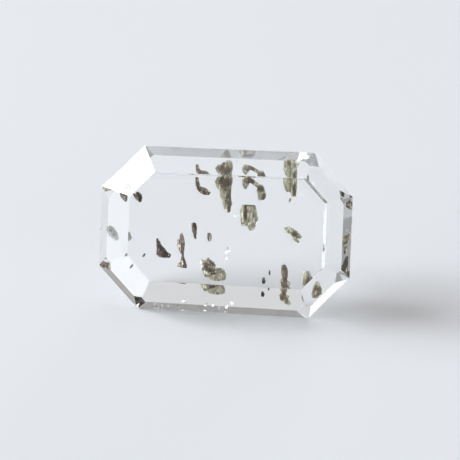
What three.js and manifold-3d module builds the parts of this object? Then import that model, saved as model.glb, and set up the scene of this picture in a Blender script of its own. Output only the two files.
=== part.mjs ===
// A faceted stone of clear rock crystal with pyrite grains sealed inside, in millimetres, +Z up.
// It is a cut-corner tablet: a flat table, one row of crown facets, a thin girdle, one row of
// steeper pavilion facets and a flat back. It stands on its lower pavilion facet and leans back.
// The clear crystal is parted along the layer that the grains lie in, so that each grain sits in
// a pocket that is open along the parting.
import * as THREE from "three";
import { ConvexGeometry } from "three/addons/geometries/ConvexGeometry.js";
import { mergeVertices } from "three/addons/utils/BufferGeometryUtils.js";
import Module from "manifold-3d";

const wasm = await Module();
wasm.setup();

// The cut is a little uneven, as cut by hand. The sides run from the right one round to the lower
// right corner: where each faces, in degrees round the table, how far its girdle edge is from the
// middle, and how far in from there the table's edge and the back's edge are.
const sides = [
  { faces: 0.8, reach: 9.04, tableInset: 1.94, backInset: 1.9 },
  { faces: 44.4, reach: 8.52, tableInset: 1.8, backInset: 1.68 },
  { faces: 91, reach: 5.9, tableInset: 1.98, backInset: 1.885 },
  { faces: 136.6, reach: 8.46, tableInset: 1.87, backInset: 1.86 },
  { faces: 180.9, reach: 9.04, tableInset: 1.91, backInset: 1.9 },
  { faces: 225.2, reach: 8.46, tableInset: 1.83, backInset: 1.86 },
  { faces: 270, reach: 5.9, tableInset: 1.9, backInset: 1.9 },
  { faces: 317.4, reach: 8.62, tableInset: 1.86, backInset: 1.85 },
];
const lowerSide = sides[6];
const crownHeight = 1.9;
const girdleHeight = 0.14;
const pavilionAngle = 62; // degrees from the girdle's plane, on the lower side that it stands on

const pavilionDepth = lowerSide.backInset * Math.tan(THREE.MathUtils.degToRad(pavilionAngle));
const girdleTop = -crownHeight; // heights are measured from the table, which is at 0
const girdleFoot = girdleTop - girdleHeight;
const backHeight = girdleFoot - pavilionDepth;

// The grains' layer, the parting through it and the room around each grain.
const layerHeight = -3.6;
const layerTurn = 0.85; // degrees that the layer's own axes are turned from the table's
const layerShift = new THREE.Vector3(0.1, 0.04, 0);
const partingGap = 0.04;
const pocketRoom = 0.05;

const outOfTable = new THREE.Vector3(0, 0, 1);

const quartzMaterial = new THREE.MeshStandardMaterial({
  color: "#e9eef2",
  roughness: 0.03,
  metalness: 0,
  transparent: true,
  opacity: 0.3,
});
const pyriteMaterial = new THREE.MeshStandardMaterial({
  color: "#6b5f3a",
  roughness: 0.35,
  metalness: 0.85,
});

// One ring of eight corners at a height, with each side moved in by its own inset.
function ring(height, insetOf) {
  return sides.map((side, i) => {
    const next = sides[(i + 1) % sides.length];
    const [a, b] = [side, next].map((one) => THREE.MathUtils.degToRad(one.faces));
    const [p, q] = [side, next].map((one) => one.reach - insetOf(one));
    const x = (p * Math.sin(b) - q * Math.sin(a)) / Math.sin(b - a);
    const y = (q * Math.cos(a) - p * Math.cos(b)) / Math.sin(b - a);
    return new THREE.Vector3(x, y, height);
  });
}

// The ring at a height on the pavilion, between the girdle's foot and the back.
function pavilionRing(height) {
  const share = (girdleFoot - height) / pavilionDepth;
  return ring(height, (side) => share * side.backInset);
}

function solidOf(points) {
  const geometry = new ConvexGeometry(points);
  geometry.deleteAttribute("normal");
  geometry.deleteAttribute("uv");
  const merged = mergeVertices(geometry, 1e-4);
  return new wasm.Manifold(
    new wasm.Mesh({
      numProp: 3,
      vertProperties: merged.attributes.position.array,
      triVerts: new Uint32Array(merged.index.array),
    }),
  );
}

function meshOf(name, solid, material) {
  const { vertProperties, triVerts, numProp } = solid.getMesh();
  const corners = new THREE.InterleavedBuffer(vertProperties, numProp);
  const geometry = new THREE.BufferGeometry();
  geometry.setAttribute("position", new THREE.InterleavedBufferAttribute(corners, 3, 0));
  geometry.setIndex(new THREE.BufferAttribute(triVerts, 1));
  const mesh = new THREE.Mesh(geometry, material);
  mesh.name = name;
  return mesh;
}

// A repeatable stream of numbers between -1 and 1, so that no two crystals look alike.
function unevenness(seed) {
  let state = seed;
  return () => {
    state = (state * 16807) % 2147483647;
    return (state / 2147483647) * 2 - 1;
  };
}

// One lump of pyrite: a flat-faced bar from one place in the layer to another, as wide as its
// widths say at even steps along it. Deep is how far below the table its middle lies. Lean
// turns it about its length. Grow makes the same lump larger all round.
function lump({ from, to, widths, thick = 0.6, deep = -layerHeight, lean = 0 }, seed, grow) {
  const start = new THREE.Vector3(...from, -deep);
  const end = new THREE.Vector3(...to, -deep);
  const along = end.clone().sub(start).normalize();
  const across = new THREE.Vector3(-along.y, along.x, 0);
  across.applyAxisAngle(along, THREE.MathUtils.degToRad(lean));
  const out = new THREE.Vector3().crossVectors(along, across);
  const length = start.distanceTo(end);
  const uneven = unevenness(seed);
  const points = [];
  widths.forEach((width, i) => {
    const share = i / (widths.length - 1);
    const fullness = 0.55 + 0.45 * Math.sin(Math.PI * share);
    const place = start.clone().addScaledVector(along, share * length + (2 * share - 1) * grow);
    const half = width / 2;
    const depth = (thick / 2) * fullness;
    const shift = 0.1 * width * uneven();
    const corner = (side, height) => {
      const sideways = shift + side * half * (1 + 0.06 * uneven()) + Math.sign(side) * grow;
      const upwards = height * depth * (1 + 0.2 * uneven()) + Math.sign(height) * grow;
      points.push(place.clone().addScaledVector(across, sideways).addScaledVector(out, upwards));
    };
    corner(1, 0);
    corner(0.5, 1);
    corner(-0.35, 1);
    corner(-1, 0);
    corner(-0.5, -1);
    corner(0.35, -1);
  });
  const turn = THREE.MathUtils.degToRad(layerTurn);
  points.forEach((point) => point.add(layerShift).applyAxisAngle(outOfTable, turn));
  return solidOf(points);
}

// The grains, by the lumps that each has grown from. Places are along the layer's own axes:
// across to the right, and up.
const grains = {
  pyrite_hook: [
    { from: [-2.36, 3.8], to: [-2.22, 3], widths: [0.16, 0.3, 0.34, 0.26], thick: 0.45 },
    {
      from: [-2.36, 3.1],
      to: [-1.34, 2.64],
      widths: [0.5, 1.15, 1.25, 0.5],
      thick: 0.26,
      deep: 3.7,
      lean: -64,
    },
  ],
  pyrite_long: [
    { from: [-0.62, 3.88], to: [-0.56, 2.98], widths: [0.44, 0.74, 0.7, 0.5], thick: 0.85, deep: 3.5 },
    { from: [-0.3, 4.08], to: [-0.28, 3], widths: [0.46, 0.56, 0.5, 0.4], thick: 0.95, deep: 3.52 },
    { from: [0, 4.24], to: [-0.04, 2.92], widths: [0.45, 0.6, 0.6, 0.4], thick: 0.95 },
    { from: [-0.44, 3.15], to: [-0.14, 1.56], widths: [0.5, 0.55, 0.48, 0.26], thick: 0.55 },
    { from: [-0.08, 3.15], to: [0, 1.32], widths: [0.46, 0.54, 0.52, 0.28], thick: 0.7, deep: 3.52 },
  ],
  pyrite_branch: [
    { from: [1.25, 4], to: [1.16, 3.08], widths: [0.35, 0.66, 0.5, 0.2], thick: 0.65, deep: 3.52 },
    { from: [1.35, 3.88], to: [2.15, 3.3], widths: [0.3, 0.36, 0.34], thick: 0.5, deep: 3.5 },
    { from: [2.26, 3.42], to: [2.42, 2.34], widths: [0.4, 0.62, 0.66, 0.46], thick: 0.7 },
  ],
  pyrite_twin_column: [
    { from: [4.12, 4.62], to: [4.24, 3], widths: [0.38, 0.54, 0.54, 0.3], thick: 0.7, deep: 3.5 },
    { from: [4.5, 4.7], to: [4.73, 2.68], widths: [0.42, 0.64, 0.62, 0.34], thick: 0.8, deep: 3.52 },
    { from: [4.78, 4.3], to: [5.03, 4.24], widths: [0.3, 0.3, 0.18], thick: 0.4, deep: 3.52 },
  ],
  pyrite_splinter: [
    { from: [4.53, 2.58], to: [4.36, 2.2], widths: [0.1, 0.2, 0.12], thick: 0.3, deep: 3.62 },
  ],
  pyrite_block: [
    { from: [1.55, 1.93], to: [1.55, 0.42], widths: [1, 1.14, 1.14, 0.96], thick: 0.8 },
    { from: [1.7, 0.7], to: [1.72, 0.1], widths: [0.7, 0.66, 0.3], thick: 0.65 },
    { from: [1.13, 1.92], to: [1.24, 0.65], widths: [0.3, 0.4, 0.3], thick: 0.75, deep: 3.4 },
    { from: [1.78, 1.78], to: [1.68, 1.15], widths: [0.3, 0.38, 0.24], thick: 0.7, deep: 3.4 },
  ],
  pyrite_corner: [
    { from: [-6.62, 2.52], to: [-6.32, 1.8], widths: [0.18, 0.48, 0.46, 0.18], thick: 0.75, deep: 3.52 },
    { from: [-6.88, 2.42], to: [-6.6, 1.96], widths: [0.1, 0.2, 0.14], thick: 0.4 },
  ],
  pyrite_left_edge: [
    { from: [-7.9, -0.02], to: [-6.96, -0.95], widths: [0.4, 0.72, 0.66, 0.34], thick: 0.7, deep: 3.62 },
  ],
  pyrite_wedge: [
    { from: [4.15, 0.42], to: [4.55, 0], widths: [0.18, 0.3, 0.26], thick: 0.45 },
    { from: [4.35, 0.46], to: [5.35, -0.26], widths: [0.22, 0.4, 0.44, 0.24], thick: 0.65 },
    { from: [4.6, -0.08], to: [5.2, -0.6], widths: [0.2, 0.3, 0.2], thick: 0.45 },
  ],
  pyrite_dart: [
    { from: [-2.45, 0.48], to: [-2.28, -0.7], widths: [0.34, 0.44, 0.34, 0.22, 0.14], thick: 0.55 },
  ],
  pyrite_oval: [
    { from: [-1.28, -0.2], to: [-1.22, -0.82], widths: [0.22, 0.36, 0.34, 0.18], thick: 0.5 },
  ],
  pyrite_hourglass: [
    {
      from: [-3.27, -0.3],
      to: [-3.13, -1.95],
      widths: [0.16, 0.36, 0.4, 0.3, 0.12],
      thick: 0.65,
      deep: 3.55,
    },
    { from: [-3.53, -0.78], to: [-3.22, -1.76], widths: [0.12, 0.3, 0.28, 0.14], thick: 0.5, deep: 3.66 },
    { from: [-3.13, -1.8], to: [-3.03, -2.78], widths: [0.12, 0.2, 0.44, 0.44], thick: 0.6 },
    { from: [-3.16, -2.2], to: [-3.3, -2.72], widths: [0.1, 0.22, 0.26], thick: 0.4 },
    { from: [-3.5, -2.62], to: [-2.8, -2.66], widths: [0.18, 0.4, 0.3], thick: 0.5, deep: 3.64 },
  ],
  pyrite_boot: [
    { from: [-5, -0.76], to: [-4.76, -1.75], widths: [0.18, 0.3, 0.36, 0.46], thick: 0.6, deep: 3.55 },
    { from: [-4.85, -1.25], to: [-4.2, -1.98], widths: [0.34, 0.5, 0.34], thick: 0.7 },
    { from: [-5, -1.72], to: [-4.02, -2], widths: [0.34, 0.62, 0.5, 0.3], thick: 0.75 },
  ],
  pyrite_low_speck: [
    { from: [-5.82, -1.88], to: [-5.99, -2.16], widths: [0.08, 0.18, 0.12], thick: 0.9, deep: 3.95 },
  ],
  pyrite_cluster: [
    { from: [-1.54, -2.4], to: [-1.22, -3.38], widths: [0.28, 0.56, 0.6, 0.4], thick: 0.85 },
    { from: [-1.38, -2.06], to: [-0.85, -2.92], widths: [0.3, 0.6, 0.66, 0.4], thick: 0.85, deep: 3.45 },
    { from: [-1, -2.68], to: [-0.42, -3.12], widths: [0.36, 0.52, 0.42], thick: 0.9, deep: 3.42 },
    { from: [-1.2, -3.26], to: [0.04, -3.34], widths: [0.42, 0.62, 0.78, 0.44], thick: 0.8, deep: 3.64 },
    { from: [-0.52, -2.74], to: [-0.04, -3.12], widths: [0.22, 0.36, 0.24], thick: 0.7, deep: 3.45 },
    { from: [-1.8, -2.12], to: [-1.3, -2.5], widths: [0.08, 0.26, 0.3], thick: 0.4, deep: 3.52 },
    { from: [-0.92, -2.24], to: [-0.78, -2.84], widths: [0.08, 0.24, 0.3], thick: 0.45, deep: 3.5 },
  ],
  pyrite_low_bead: [
    { from: [2.77, -3.24], to: [2.8, -3.72], widths: [0.18, 0.3, 0.18], thick: 0.45, deep: 3.5 },
  ],
  pyrite_high_bead: [
    { from: [3.16, -2.7], to: [3.2, -3.07], widths: [0.1, 0.17, 0.12], thick: 0.28, deep: 3.6 },
  ],
  pyrite_pillar: [
    { from: [4.18, -2.27], to: [4.28, -3.3], widths: [0.34, 0.46, 0.48, 0.36], thick: 0.75, deep: 3.55 },
    { from: [4.26, -3.2], to: [4.32, -3.95], widths: [0.34, 0.54, 0.6, 0.48], thick: 0.65 },
    { from: [4.04, -3.66], to: [4.68, -3.58], widths: [0.24, 0.4, 0.26], thick: 0.5 },
    { from: [4.26, -3.78], to: [4.8, -4.3], widths: [0.42, 0.44, 0.2], thick: 0.55, deep: 3.62 },
  ],
  pyrite_low_right: [
    {
      from: [5.92, -2.66],
      to: [6.04, -3.94],
      widths: [0.28, 0.62, 0.8, 0.8, 0.5],
      thick: 0.95,
      deep: 3.62,
    },
    { from: [6.1, -3.05], to: [6.4, -3.76], widths: [0.3, 0.36, 0.2], thick: 0.45, deep: 3.66 },
  ],
};

function grainSolid(lumps, grow) {
  return lumps
    .map((one, i) => lump(one, Math.round(1000 * (one.from[0] + 20)) + 97 * i, grow))
    .reduce((joined, next) => joined.add(next));
}

const stone = new THREE.Group();

let front = solidOf([
  ...ring(0, (side) => side.tableInset),
  ...ring(girdleTop, () => 0),
  ...pavilionRing(girdleFoot),
  ...pavilionRing(layerHeight + partingGap / 2),
]);
let back = solidOf([
  ...pavilionRing(layerHeight - partingGap / 2),
  ...pavilionRing(backHeight),
]);

for (const [name, lumps] of Object.entries(grains)) {
  const pocket = grainSolid(lumps, pocketRoom);
  front = front.subtract(pocket);
  back = back.subtract(pocket);
  stone.add(meshOf(name, grainSolid(lumps, 0), pyriteMaterial));
}
stone.add(meshOf("quartz_front", front, quartzMaterial));
stone.add(meshOf("quartz_back", back, quartzMaterial));

// It leans back until its lower pavilion facet lies flat on Z = 0, with its box's middle at X = Y = 0.
const lean = THREE.MathUtils.degToRad(pavilionAngle);
stone.rotation.x = lean;
const group = new THREE.Group();
group.add(stone);
const box = new THREE.Box3().setFromObject(group, true);
const middle = box.getCenter(new THREE.Vector3());
stone.position.set(-middle.x, -middle.y, -box.min.z);

export default group;
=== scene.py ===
# Faceted rock crystal with pyrite grains sealed inside, standing on a pale floor by a window.
import math
import random

import bpy
from mathutils import Matrix, Vector


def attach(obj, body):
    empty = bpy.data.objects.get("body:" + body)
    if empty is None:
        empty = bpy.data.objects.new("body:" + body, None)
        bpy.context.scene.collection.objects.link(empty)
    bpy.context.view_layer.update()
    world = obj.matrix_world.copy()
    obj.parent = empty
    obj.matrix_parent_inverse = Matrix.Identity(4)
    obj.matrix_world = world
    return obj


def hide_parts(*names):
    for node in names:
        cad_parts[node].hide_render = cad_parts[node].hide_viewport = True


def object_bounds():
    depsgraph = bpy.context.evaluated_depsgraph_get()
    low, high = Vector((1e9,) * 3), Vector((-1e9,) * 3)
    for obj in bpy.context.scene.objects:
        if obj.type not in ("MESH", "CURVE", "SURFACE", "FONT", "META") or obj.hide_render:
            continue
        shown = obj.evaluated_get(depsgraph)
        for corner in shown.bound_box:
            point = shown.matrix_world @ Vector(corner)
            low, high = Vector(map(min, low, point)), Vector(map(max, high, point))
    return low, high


mm = 0.001

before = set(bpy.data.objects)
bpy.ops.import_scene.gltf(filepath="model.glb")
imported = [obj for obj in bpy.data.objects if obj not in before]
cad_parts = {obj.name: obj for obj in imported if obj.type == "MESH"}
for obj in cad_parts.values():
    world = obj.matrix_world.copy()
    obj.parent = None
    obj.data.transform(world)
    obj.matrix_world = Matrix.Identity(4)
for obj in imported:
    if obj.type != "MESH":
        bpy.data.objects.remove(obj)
cadBox = [list(corner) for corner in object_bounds()]
print("frame loaded:", len(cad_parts), "nodes")

# The stone's own axes run across its table, the large front facet, and up it and out of it.
lean = 62  # degrees that the table is turned up from level, which is also the pavilion's angle
turnUp = Matrix.Rotation(math.radians(lean), 4, "X")


def activate(piece):
    bpy.ops.object.select_all(action="DESELECT")
    piece.select_set(True)
    bpy.context.view_layer.objects.active = piece


def editAll(piece):
    activate(piece)
    bpy.ops.object.mode_set(mode="EDIT")
    bpy.ops.mesh.select_all(action="SELECT")


def leaveEdit():
    bpy.ops.object.mode_set(mode="OBJECT")


def applyModifier(piece, kind, **settings):
    modifier = piece.modifiers.new(kind.lower(), kind)
    for name, value in settings.items():
        setattr(modifier, name, value)
    activate(piece)
    bpy.ops.object.modifier_apply(modifier=modifier.name)


def settlePlace(piece):
    # puts the object at the origin, with its place in its mesh
    activate(piece)
    bpy.ops.object.transform_apply(location=True, rotation=True, scale=True)


def give(piece, material):
    piece.data.materials.clear()
    piece.data.materials.append(material)


def aimedDirection(azimuth, elevation):
    # both in degrees; azimuth 0 looks away from the camera's side and 90 to the right
    turn = math.radians(azimuth)
    rise = math.radians(elevation)
    level = math.cos(rise)
    return Vector((math.sin(turn) * level, math.cos(turn) * level, math.sin(rise)))


class Wire:
    # one shader value or colour, with the usual operators as Math nodes

    def __init__(self, shader, socket):
        self.shader = shader
        self.socket = socket

    def mathNode(self, operation, first, second):
        return self.shader.node("ShaderNodeMath", {"operation": operation}, {0: first, 1: second})

    def __add__(self, other):
        return self.mathNode("ADD", self, other)

    def __radd__(self, other):
        return self.mathNode("ADD", other, self)

    def __sub__(self, other):
        return self.mathNode("SUBTRACT", self, other)

    def __rsub__(self, other):
        return self.mathNode("SUBTRACT", other, self)

    def __mul__(self, other):
        return self.mathNode("MULTIPLY", self, other)

    def __rmul__(self, other):
        return self.mathNode("MULTIPLY", other, self)

    def __truediv__(self, other):
        return self.mathNode("DIVIDE", self, other)

    def __rtruediv__(self, other):
        return self.mathNode("DIVIDE", other, self)

    def atLeast(self, other):
        return self.mathNode("MAXIMUM", self, other)


class Shader:
    # one material's or world's node tree

    def __init__(self, owner):
        owner.use_nodes = True
        self.owner = owner
        self.tree = owner.node_tree
        self.tree.nodes.clear()

    def node(self, kind, settings=None, values=None, output=0):
        made = self.tree.nodes.new(kind)
        for name, value in (settings or {}).items():
            setattr(made, name, value)
        for key, value in (values or {}).items():
            if isinstance(value, Wire):
                self.tree.links.new(value.socket, made.inputs[key])
            else:
                made.inputs[key].default_value = value
        return Wire(self, made.outputs[output]) if made.outputs else made

    def objectPlace(self):
        return self.node("ShaderNodeTexCoord", output="Object")

    def ramp(self, value, low, high):
        # 0 at low and 1 at high, eased
        return self.node(
            "ShaderNodeMapRange",
            {"interpolation_type": "SMOOTHSTEP"},
            {"Value": value, "From Min": low, "From Max": high},
        )

    def noise(self, place, size, detail=3, roughness=0.55):
        # size is the width of one blotch in mm, and the values lie round a half
        return self.node(
            "ShaderNodeTexNoise",
            {},
            {"Vector": place, "Scale": 1 / (size * mm), "Detail": detail, "Roughness": roughness},
        )

    def mix(self, factor, first, second):
        first, second = (c if isinstance(c, Wire) else (*c, 1) for c in (first, second))
        return self.node(
            "ShaderNodeMix", {"data_type": "RGBA"}, {0: factor, 6: first, 7: second}, output=2
        )

    def along(self, place, direction):
        # how far a place lies from the table's middle in one direction, in mm
        distance = self.node(
            "ShaderNodeVectorMath",
            {"operation": "DOT_PRODUCT"},
            {0: place, 1: direction},
            output="Value",
        )
        return (distance - stoneShift.dot(direction)) / mm

    def stretched(self, place, scale):
        # a pattern set on this place is longest where the scale is smallest
        return self.node("ShaderNodeMapping", {}, {"Vector": place, "Scale": scale})

    def finish(self, **ends):
        # Surface, Volume or both
        self.node("ShaderNodeOutputMaterial", {}, ends)
        return self.owner


def newShader(name):
    return Shader(bpy.data.materials.new(name))


camera = {
    "azimuth": -3.474,  # degrees round from the front
    "elevation": 24.91,
    "roll": 4.83,
    "aim": (0.278, -0.793, 5.358),  # mm, the middle of the picture
    "width": 33.12,  # mm across the picture
    "distance": 700,  # mm
}


def placeCamera():
    # back points from the aim to the camera
    back = aimedDirection(180 - camera["azimuth"], camera["elevation"])
    level = Vector((0, 0, 1)).cross(back).normalized()
    upright = back.cross(level)
    turn = Matrix((level, upright, back)).transposed().to_4x4()
    turn = turn @ Matrix.Rotation(math.radians(camera["roll"]), 4, "Z")
    bpy.ops.object.camera_add()
    made = bpy.context.object
    made.name = "pictureCamera"
    made.data.lens = made.data.sensor_width * camera["distance"] / camera["width"]
    aim = Vector(camera["aim"]) * mm
    made.matrix_world = Matrix.Translation(aim + back * camera["distance"] * mm) @ turn
    bpy.context.scene.camera = made


placeCamera()
print("camera placed")


stone = {
    # for each side: where it faces in degrees round the table, how far out its girdle edge is, and
    # how far in the table's edge and the back's edge are, in mm
    "sides": [
        (0.8, 9.04, 1.94, 1.9),
        (44.4, 8.52, 1.8, 1.68),
        (91, 5.9, 1.98, 1.885),
        (136.6, 8.46, 1.87, 1.86),
        (180.9, 9.04, 1.91, 1.9),
        (225.2, 8.46, 1.83, 1.86),
        (270, 5.9, 1.9, 1.9),
        (317.4, 8.62, 1.86, 1.85),
    ],
    "crownHeight": 1.9,  # mm
    "girdle": 0.14,  # mm
    "usualInset": 1.9,  # mm, the back edge's usual place, which sets the pavilion's depth
    "edgeWear": 0.003,  # mm, width of the polished-off edges
    "block": 40,  # mm, side of the cube that it is cut from
    "cutPrecision": 0.0001,  # mm
    "weld": 0.001,  # mm, corners closer than this are one
    "refraction": 1.544,
    "hazeSize": 3.5,  # mm
    "hazeEdge": (0.52, 0.75),  # noise values where the haze starts and is full
    "haze": 0.012,  # roughness of the polish where the haze is full
    "tint": (0.9, 0.94, 0.96),
    "tintDensity": 30,  # per metre
}


def facetPlanes():
    # each plane is a point and an outward normal, in mm on the stone's own axes
    crown = stone["crownHeight"]
    girdleFoot = crown + stone["girdle"]
    depth = stone["usualInset"] * math.tan(math.radians(lean))
    planes = [((0, 0, 0), (0, 0, 1)), ((0, 0, -girdleFoot - depth), (0, 0, -1))]
    for facing, reach, tableInset, backInset in stone["sides"]:
        angle = math.radians(facing)
        out = Vector((math.cos(angle), math.sin(angle), 0))
        edge = out * reach
        planes.append((edge, out))
        planes.append((edge + Vector((0, 0, -crown)), out * crown + Vector((0, 0, tableInset))))
        planes.append((edge + Vector((0, 0, -girdleFoot)), out * depth - Vector((0, 0, backInset))))
    return planes


def cutStone():
    bpy.ops.object.select_all(action="DESELECT")
    bpy.ops.mesh.primitive_cube_add(size=stone["block"] * mm)
    made = bpy.context.object
    made.name = "clearStone"
    editAll(made)
    for point, out in facetPlanes():
        bpy.ops.mesh.select_all(action="SELECT")
        bpy.ops.mesh.bisect(
            plane_co=turnUp @ (Vector(point) * mm),
            plane_no=(turnUp.to_3x3() @ Vector(out)).normalized(),
            use_fill=True,
            clear_outer=True,
            threshold=stone["cutPrecision"] * mm,
        )
    leaveEdit()
    # the stone moves to where the frame's own box stands
    corners = [vertex.co for vertex in made.data.vertices]
    low = [min(corner[axis] for corner in corners) for axis in range(3)]
    high = [max(corner[axis] for corner in corners) for axis in range(3)]
    shift = Vector(
        (
            (cadBox[0][0] + cadBox[1][0] - low[0] - high[0]) / 2,
            (cadBox[0][1] + cadBox[1][1] - low[1] - high[1]) / 2,
            cadBox[0][2] - low[2],
        )
    )
    made.location = shift
    settlePlace(made)
    editAll(made)
    bpy.ops.mesh.remove_doubles(threshold=stone["weld"] * mm)
    bpy.ops.mesh.bevel(offset=stone["edgeWear"] * mm, segments=2, affect="EDGES", clamp_overlap=True)
    bpy.ops.mesh.normals_make_consistent(inside=False)
    leaveEdit()
    return made, shift


def quartzFinish():
    shader = newShader("clear quartz")
    cloud = shader.noise(shader.objectPlace(), stone["hazeSize"], detail=4)
    glass = shader.node(
        "ShaderNodeBsdfPrincipled",
        {},
        {
            "Base Color": (1, 1, 1, 1),
            "Roughness": shader.ramp(cloud, *stone["hazeEdge"]) * stone["haze"],
            "IOR": stone["refraction"],
            "Transmission Weight": 1.0,
        },
    )
    tint = shader.node(
        "ShaderNodeVolumeAbsorption",
        {},
        {"Color": (*stone["tint"], 1), "Density": stone["tintDensity"]},
    )
    return shader.finish(Surface=glass, Volume=tint)


clearStone, stoneShift = cutStone()
give(clearStone, quartzFinish())
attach(clearStone, "root")
# one clear piece takes the place of both halves, so that light meets no seam
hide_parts("quartz_front", "quartz_back")
toWorld = Matrix.Translation(stoneShift) @ turnUp
print("stone cut:", len(clearStone.data.polygons), "faces")


brownWork = {
    # place across and up from the table's middle, half width and half length, in mm
    "patches": [
        (-0.3, 3.55, 0.55, 0.42),
        (0.16, 2.15, 0.32, 1.0),
        (-0.4, 4.15, 0.12, 0.3),
        (1.55, 3.72, 0.5, 0.25),
        (1.33, 1.5, 0.17, 0.7),
        (1.7, 2.03, 0.5, 0.12),
        (4.85, 3.3, 0.22, 0.5),
        (4.3, 4.5, 0.12, 0.3),
        (2.35, 3.2, 0.3, 0.25),
        (2.6, 2.6, 0.22, 0.3),
        (6.25, -3.5, 0.4, 0.6),
        (-1.15, -2.55, 0.45, 0.4),
        (-0.75, -2.95, 0.4, 0.2),
        (4.36, -2.72, 0.42, 0.6),
        (4.3, -3.15, 0.45, 0.4),
        (4.4, -3.66, 0.4, 0.2),
        (4.98, 0.12, 0.24, 0.2),
    ],
    "patchEdge": (1.6, 0.4),  # squares of the distance where a patch starts and is full
    "specks": (0.25, 0.45),  # fine noise values that break a patch up
    "cover": 0.85,  # how much of the colour under a patch it hides
    "stripeEdge": (0.4, 0.55),  # stripe values where dark turns to light
    "light": (0.16, 0.098, 0.048),
    "dark": (0.025, 0.013, 0.008),
    "fewerHighlights": 0.09,  # how much a patch raises the bar for the painted highlights
    "plainerHighlights": 0.4,  # how much less the blotches move the painted highlights there
    "metal": 0.95,
}

pyriteWork = {
    "blotchSize": 0.4,  # mm
    "fineSize": 0.08,  # mm
    "stripeSize": 0.11,  # mm
    "stripeScale": (1, 0.22, 0.22),  # smallest along the grains
    "crackEdge": (0.34, 0.44),  # blotch values where the dark cracks end
    "crackFray": 0.4,  # how much the blotches change where the painted highlights lie
    "highlightBlotch": 0.6,  # how softly the painted highlights end
    "highlightEdge": 0.14,  # how softly the bright faces end
    "roughness": 0.28,
    "roughnessRise": 0.25,  # what the blotches add
    "bumpStrength": 0.8,
    "bumpHeight": 0.025,  # mm
    "bumpFine": 0.5,  # share of the fine noise beside the stripes
    # painted highlight colour (bright), middle and dark colour, where the painted highlights start,
    # and how metallic it is
    "tones": {
        "sage": {
            "bright": (0.88, 0.87, 0.7),
            "middle": (0.44, 0.42, 0.28),
            "dark": (0.09, 0.062, 0.034),
            "faces": 0.51,
            "metal": 0.45,
        },
        "pale": {
            "bright": (0.8, 0.8, 0.78),
            "middle": (0.55, 0.545, 0.52),
            "dark": (0.3, 0.28, 0.25),
            "faces": 0.5,
            "metal": 0.45,
        },
        "brown": {
            "bright": (0.85, 0.74, 0.6),
            "middle": (0.14, 0.095, 0.07),
            "dark": (0.04, 0.025, 0.018),
            "faces": 0.52,
            "metal": 0.95,
        },
        "dark": {
            "bright": (0.7, 0.56, 0.43),
            "middle": (0.075, 0.048, 0.034),
            "dark": (0.018, 0.01, 0.007),
            "faces": 0.57,
            "metal": 0.95,
        },
    },
}


def brownShare(shader, place):
    # how brown each place is: 1 in the middle of a patch and 0 away from all
    across = shader.along(place, Vector((1, 0, 0)))
    up = shader.along(place, turnUp.to_3x3() @ Vector((0, 1, 0)))
    share = 0.0
    for middleAcross, middleUp, halfWidth, halfLength in brownWork["patches"]:
        sideways = (across - middleAcross) / halfWidth
        lengthways = (up - middleUp) / halfLength
        outward = sideways * sideways + lengthways * lengthways
        share = shader.ramp(outward, *brownWork["patchEdge"]).atLeast(share)
    return share


def pyriteFinish(name, tone):
    # striped along the grains, with dark cracks and brown patches between painted highlights in a
    # near-white colour
    shader = newShader(name)
    place = shader.objectPlace()
    blotch = shader.noise(place, pyriteWork["blotchSize"], detail=4, roughness=0.65)
    fine = shader.noise(place, pyriteWork["fineSize"])
    drawnOut = shader.stretched(place, pyriteWork["stripeScale"])
    stripes = shader.noise(drawnOut, pyriteWork["stripeSize"], detail=4, roughness=0.6)
    cracks = blotch + (fine - 0.5) * pyriteWork["crackFray"]
    colour = shader.mix(shader.ramp(cracks, *pyriteWork["crackEdge"]), tone["dark"], tone["middle"])
    brown = brownShare(shader, place) * shader.ramp(fine, *brownWork["specks"])
    streak = shader.ramp(stripes, *brownWork["stripeEdge"])
    patch = shader.mix(streak, brownWork["dark"], brownWork["light"])
    colour = shader.mix(brown * brownWork["cover"], colour, patch)
    blotchShare = pyriteWork["highlightBlotch"] - brown * brownWork["plainerHighlights"]
    # painted highlights: a near-white colour laid where the stripes and blotches run high
    faces = stripes + (blotch - 0.5) * blotchShare - brown * brownWork["fewerHighlights"]
    bright = shader.ramp(faces, tone["faces"], tone["faces"] + pyriteWork["highlightEdge"])
    colour = shader.mix(bright, colour, tone["bright"])
    bump = shader.node(
        "ShaderNodeBump",
        {},
        {
            "Strength": pyriteWork["bumpStrength"],
            "Distance": pyriteWork["bumpHeight"] * mm,
            "Height": stripes + fine * pyriteWork["bumpFine"],
        },
    )
    metal = shader.node(
        "ShaderNodeBsdfPrincipled",
        {},
        {
            "Base Color": colour,
            "Metallic": tone["metal"] + brown * (brownWork["metal"] - tone["metal"]),
            "Roughness": pyriteWork["roughness"] + blotch * pyriteWork["roughnessRise"],
            "Normal": bump,
        },
    )
    return shader.finish(Surface=metal)


grainWork = {
    "voxel": 0.035,  # mm, the finest surface step
    "weld": 0.001,  # mm, corners closer than this are one
    "lumps": 0.045,  # mm, height of the broad unevenness
    "lumpSize": 0.4,  # mm
    "steps": 0.05,  # mm, height of the cubic growth steps
    "stepSize": 0.2,  # mm
    "stepLevel": 0.35,  # the texture's value that leaves the surface where it is
    "rugged": {"pyrite_cluster": 2.2, "pyrite_branch": 1.4, "pyrite_long": 1.3},  # times as uneven
    "tones": {
        "pyrite_hook": "brown",
        "pyrite_long": "sage",
        "pyrite_branch": "sage",
        "pyrite_twin_column": "sage",
        "pyrite_splinter": "sage",
        "pyrite_block": "sage",
        "pyrite_corner": "dark",
        "pyrite_left_edge": "pale",
        "pyrite_wedge": "sage",
        "pyrite_dart": "brown",
        "pyrite_oval": "brown",
        "pyrite_hourglass": "brown",
        "pyrite_boot": "dark",
        "pyrite_low_speck": "dark",
        "pyrite_cluster": "sage",
        "pyrite_low_bead": "dark",
        "pyrite_high_bead": "dark",
        "pyrite_pillar": "sage",
        "pyrite_low_right": "sage",
    },
}


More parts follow.
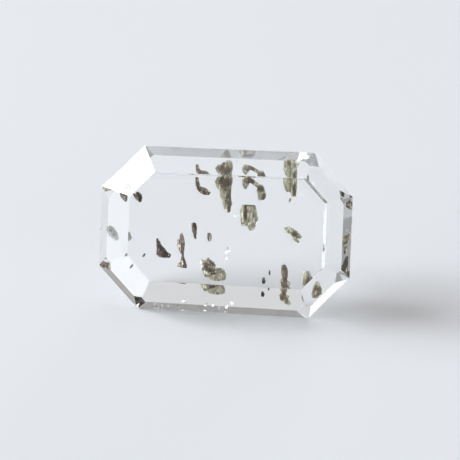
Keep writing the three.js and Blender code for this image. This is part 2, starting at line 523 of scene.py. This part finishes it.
def growthTexture(name, kind, size):
    texture = bpy.data.textures.new(name, kind)
    texture.noise_scale = size
    return texture


lumpTexture = growthTexture("grain lumps", "CLOUDS", grainWork["lumpSize"])
stepTexture = growthTexture("grain steps", "VORONOI", grainWork["stepSize"])
stepTexture.distance_metric = "CHEBYCHEV"


def roughenGrain(nodeName):
    # a finer copy of the grain's solid, worked with one unit as a millimetre
    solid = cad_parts[nodeName].data
    made = bpy.data.objects.new(nodeName.replace("pyrite_", "grain_"), solid.copy())
    bpy.context.collection.objects.link(made)
    made.scale = (1 / mm, 1 / mm, 1 / mm)
    settlePlace(made)
    editAll(made)
    bpy.ops.mesh.remove_doubles(threshold=grainWork["weld"])
    leaveEdit()
    applyModifier(made, "REMESH", mode="VOXEL", voxel_size=grainWork["voxel"], adaptivity=0)
    rugged = grainWork["rugged"].get(nodeName, 1)
    applyModifier(
        made,
        "DISPLACE",
        texture=lumpTexture,
        texture_coords="LOCAL",
        strength=rugged * grainWork["lumps"],
        mid_level=0.5,
    )
    applyModifier(
        made,
        "DISPLACE",
        texture=stepTexture,
        texture_coords="LOCAL",
        strength=-rugged * grainWork["steps"],
        mid_level=grainWork["stepLevel"],
    )
    made.scale = (mm, mm, mm)
    settlePlace(made)
    return made


finishes = {}
for toneName, tone in pyriteWork["tones"].items():
    finishes[toneName] = pyriteFinish(toneName + " pyrite", tone)
for grainName, toneName in grainWork["tones"].items():
    grain = roughenGrain(grainName)
    give(grain, finishes[toneName])
    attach(grain, "root")
    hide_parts(grainName)
print("grains made:", len(grainWork["tones"]))


fleckWork = {
    "seed": 7,
    "thick": 0.01,  # mm
    "corners": 7,
    "ragged": 0.4,  # how far a corner moves, as a share of the size
    # degrees that they lean towards the window
    "leanLeft": (-25, -9),
    "leanUp": (-15, -3),
    # place across, place up and depth from the table, then the size, all in mm
    "places": [
        (0.23, -1.2, -3.5, 0.1),
        (0.34, -1.42, -3.5, 0.07),
        (0.14, -1.55, -3.5, 0.08),
        (0.32, -1.75, -3.6, 0.07),
        (0.18, -1.95, -3.6, 0.1),
        (0.06, -2.18, -3.6, 0.05),
        (0.62, 1.14, -3.5, 0.08),
        (0.82, 1.2, -3.5, 0.05),
        (5.3, 3.02, -3.6, 0.08),
        (5.42, 2.96, -3.6, 0.05),
        (5.85, -2.09, -3.6, 0.06),
        (6.11, -0.27, -3.6, 0.04),
        (-1.72, -2.35, -3.55, 0.06),
        (-1.6, -2.62, -3.5, 0.06),
        (0.02, -3.4, -3.5, 0.05),
        (-1.7, -3.3, -3.5, 0.06),
        (2.62, -3.1, -3.5, 0.06),
        (-3.42, -0.62, -3.4, 0.06),
        (-4.77, -4.98, -3.4, 0.13),
        (-4.5, -5.06, -3.25, 0.14),
        (-4.2, -5.13, -3.1, 0.14),
        (-3.84, -5.28, -2.8, 0.12),
        (-3.06, -5.5, -2.3, 0.08),
        (-2.66, -4.16, -4.4, 0.15),
        (-1.07, -4.4, -4.2, 0.17),
        (-0.64, -4.66, -3.8, 0.15),
        (-0.15, -5.0, -3.2, 0.14),
        (0.37, -4.7, -3.75, 0.14),
        (0.79, -4.13, -4.2, 0.17),
        (-3.0, -2.56, -2.98, 0.06),
        (-3.1, -2.4, -2.98, 0.04),
        (-4.02, -1.97, -2.98, 0.04),
        (-4.8, -0.92, -2.98, 0.04),
        (4.4, 0.76, -3.05, 0.06),
        (5.8, -2.47, -2.98, 0.07),
        (5.7, -2.62, -2.98, 0.05),
        (4.25, -2.12, -2.98, 0.05),
        (0.55, 4.5, -2.98, 0.06),
        (0.5, 4.1, -2.98, 0.05),
        (2.15, 0.7, -2.98, 0.05),
    ],
    # rows of tiny flecks: both ends, across and up, then how many
    "rows": [
        ((-1.45, -2.1), (-0.6, -2.7), 7),
        ((-1.3, -2.75), (-0.45, -2.5), 6),
        ((-0.95, -3.1), (-0.1, -2.8), 6),
        ((0.42, 4.75), (0.55, 3.9), 5),
        ((5.65, -2.35), (5.95, -2.75), 4),
    ],
    "rowDepth": -2.97,  # mm
    "rowSize": 0.036,  # mm
    "rowSpread": 0.05,  # mm to either side of the row
    "colour": (0.97, 0.98, 1),
    "metal": 0.85,
    "roughness": 0.15,
    "roughnessRise": 0.3,  # what the noise adds
    "noiseSize": 0.08,  # mm
}


def fleckFinish():
    shader = newShader("bright fleck")
    grainy = shader.noise(shader.objectPlace(), fleckWork["noiseSize"])
    glint = shader.node(
        "ShaderNodeBsdfPrincipled",
        {},
        {
            "Base Color": (*fleckWork["colour"], 1),
            "Metallic": fleckWork["metal"],
            "Roughness": fleckWork["roughness"] + grainy * fleckWork["roughnessRise"],
        },
    )
    return shader.finish(Surface=glint)


def fleckPlaces(chance):
    # the placed flecks, then those of the rows
    places = list(fleckWork["places"])
    spread = fleckWork["rowSpread"]
    for start, end, count in fleckWork["rows"]:
        for step in range(count):
            across, up = Vector(start).lerp(Vector(end), step / (count - 1))
            across += chance.uniform(-spread, spread)
            up += chance.uniform(-spread, spread)
            places.append((across, up, fleckWork["rowDepth"], fleckWork["rowSize"]))
    return places


def makeFleck(chance, across, up, depth, size):
    # a thin ragged flake
    bpy.ops.object.select_all(action="DESELECT")
    bpy.ops.mesh.primitive_circle_add(
        vertices=fleckWork["corners"], radius=size * mm, fill_type="NGON"
    )
    flake = bpy.context.object
    editAll(flake)
    ragged = fleckWork["ragged"] * size * mm
    bpy.ops.transform.vertex_random(offset=ragged, seed=chance.randrange(100))
    bpy.ops.mesh.extrude_region_move(
        TRANSFORM_OT_translate={"value": (0, 0, fleckWork["thick"] * mm)}
    )
    bpy.ops.mesh.select_all(action="SELECT")
    bpy.ops.mesh.normals_make_consistent(inside=False)
    leaveEdit()
    tilt = Matrix.Rotation(math.radians(chance.uniform(*fleckWork["leanLeft"])), 4, "Y")
    tilt = tilt @ Matrix.Rotation(math.radians(chance.uniform(*fleckWork["leanUp"])), 4, "X")
    spin = Matrix.Rotation(chance.uniform(0, math.tau), 4, "Z")
    spot = toWorld @ Matrix.Translation(Vector((across, up, depth)) * mm)
    flake.matrix_world = spot @ tilt @ spin
    settlePlace(flake)
    return flake


def makeFlecks():
    chance = random.Random(fleckWork["seed"])
    flakes = [makeFleck(chance, *place) for place in fleckPlaces(chance)]
    bpy.ops.object.select_all(action="DESELECT")
    for flake in flakes:
        flake.select_set(True)
    bpy.context.view_layer.objects.active = flakes[0]
    bpy.ops.object.join()
    flakes[0].name = "quartzFlecks"
    return flakes[0]


flecks = makeFlecks()
give(flecks, fleckFinish())
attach(flecks, "root")
print("flecks set")


studio = {
    "floorSize": 6000,  # mm
    "floorDrop": 0.04,  # mm below the stone, so that the two don't share a plane
    "floorColour": (0.81, 0.825, 0.845),
    "floorShade": 0.985,  # how light its darker clouds are
    "floorClouds": 40,  # mm
    "floorRoughness": 0.55,
    "lightDistance": 900,  # mm
    # name, azimuth and elevation of its middle in degrees, half its spread each way, brightness
    "lights": [
        ("mainWindow", -81.5, 30.5, 22.5, 11.5, 11.4),
        ("lowWindow", -112, 9, 18.5, 8.5, 8.5),
        ("sillWindow", -87, 4, 6, 4, 1.8),
        ("highWindow", -63, 43, 7, 6, 4.6),
        ("sideWindow", -47, 30, 8, 8, 0.9),
        ("backWindow", 21, 12, 10, 7, 4.6),
        ("frontCard", 158, 24, 34, 18, 0.45),
        ("overheadCard", 5, 61, 14, 9, 0.85),
    ],
    "lightColour": (0.955, 0.985, 1.03),
    "horizon": (0.7, 0.705, 0.715),
    "walls": (0.41, 0.405, 0.395),
    "zenith": (0.33, 0.32, 0.31),
    # heights, as the sine of the elevation, where the walls and the zenith start and are full
    "wallsEdge": (0.03, 0.2),
    "zenithEdge": (0.25, 0.8),
    "frontEdge": (0.2, -0.9),  # depths where the shade in front starts and is full
    "frontShade": 0.2,  # how much darker the side behind the camera is
}


def makeFloor():
    bpy.ops.object.select_all(action="DESELECT")
    bpy.ops.mesh.primitive_plane_add(
        size=studio["floorSize"] * mm, location=(0, 0, -studio["floorDrop"] * mm)
    )
    made = bpy.context.object
    made.name = "paleFloor"
    shader = newShader("pale floor")
    cloud = shader.noise(shader.objectPlace(), studio["floorClouds"], detail=2)
    shaded = [part * studio["floorShade"] for part in studio["floorColour"]]
    colour = shader.mix(cloud, shaded, studio["floorColour"])
    paint = shader.node(
        "ShaderNodeBsdfPrincipled",
        {},
        {"Base Color": colour, "Roughness": studio["floorRoughness"]},
    )
    made.data.materials.append(shader.finish(Surface=paint))


def makeLight(name, azimuth, elevation, halfWidth, halfHeight, brightness):
    direction = aimedDirection(azimuth, elevation)
    bpy.ops.object.light_add(type="AREA", location=direction * studio["lightDistance"] * mm)
    made = bpy.context.object
    made.name = name
    made.rotation_euler = direction.to_track_quat("Z", "Y").to_euler()
    # a degree round is narrower the higher it lies
    spread = math.radians(halfWidth) * math.cos(math.radians(elevation))
    width = 2 * studio["lightDistance"] * mm * math.tan(spread)
    height = 2 * studio["lightDistance"] * mm * math.tan(math.radians(halfHeight))
    made.data.shape = "RECTANGLE"
    made.data.size = width
    made.data.size_y = height
    made.data.energy = brightness * math.pi * width * height  # as bright at any size
    made.data.color = studio["lightColour"]


def makeRoom():
    world = bpy.data.worlds.new("room")
    bpy.context.scene.world = world
    shader = Shader(world)
    direction = shader.node("ShaderNodeTexCoord", output="Generated")
    height = shader.node("ShaderNodeSeparateXYZ", {}, {0: direction}, output="Z")
    depth = shader.node("ShaderNodeSeparateXYZ", {}, {0: direction}, output="Y")
    upper = shader.mix(
        shader.ramp(height, *studio["zenithEdge"]), studio["walls"], studio["zenith"]
    )
    colour = shader.mix(shader.ramp(height, *studio["wallsEdge"]), studio["horizon"], upper)
    front = shader.ramp(depth, *studio["frontEdge"])
    light = shader.node(
        "ShaderNodeBackground",
        {},
        {"Color": colour, "Strength": 1 - front * studio["frontShade"]},
    )
    shader.node("ShaderNodeOutputWorld", {}, {"Surface": light})


makeFloor()
for light in studio["lights"]:
    makeLight(*light)
makeRoom()
print("floor and light set")

scene = bpy.context.scene
scene.view_settings.view_transform = "Standard"
scene.cycles.sample_clamp_indirect = 0
scene.cycles.blur_glossy = 0.3
# light is turned back many times inside the stone before it leaves
scene.cycles.max_bounces = 32
scene.cycles.diffuse_bounces = 8
scene.cycles.glossy_bounces = 24
scene.cycles.transmission_bounces = 24
scene.cycles.transparent_max_bounces = 16
